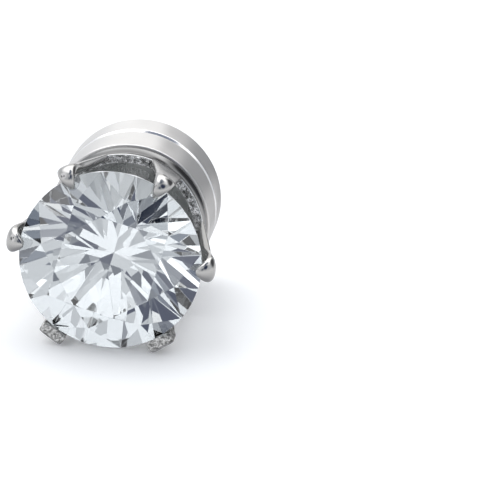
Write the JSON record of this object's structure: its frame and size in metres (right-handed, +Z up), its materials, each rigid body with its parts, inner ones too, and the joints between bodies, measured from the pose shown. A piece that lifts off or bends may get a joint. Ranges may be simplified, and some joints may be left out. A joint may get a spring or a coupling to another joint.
{
  "type": "magnetic stud earring",
  "caption": "Magnetic stud earring: a round brilliant-cut clear stone in a claw head on a steel magnet cup, with a separate magnet cup that clips behind the ear lobe.",
  "frame": {"origin": "bottom centre of the resting earring's box, on the surface that the two lower claws and the back rim touch", "axes": "+Z up, +Y from the stone towards the magnetic back, +X to the right as seen facing the stone; the earring's own axis leans 2.7 degrees, stone up, as it rests"},
  "size_m": [0.0092, 0.011, 0.0082],
  "materials": {
    "stone": "clear, cut and polished cubic zirconia",
    "polished_steel": "polished stainless steel",
    "satin_steel": "satin stainless steel, turned",
    "magnet_plating": "dull nickel plating"
  },
  "bodies": {
    "front_half": {"stone": "stone", "claw_setting": "polished_steel", "front_cup": "satin_steel", "front_magnet": "magnet_plating"},
    "back_half": {"back_cup": "satin_steel", "back_magnet": "magnet_plating"}
  },
  "joints": [
    {"name": "back_pull", "type": "slide", "parent": "front_half", "child": "back_half", "axis": [0, 0.9989, -0.0471], "range_m": [0, 0.008], "stiffness_N_per_m": 5, "springref_m": -0.02}
  ]
}
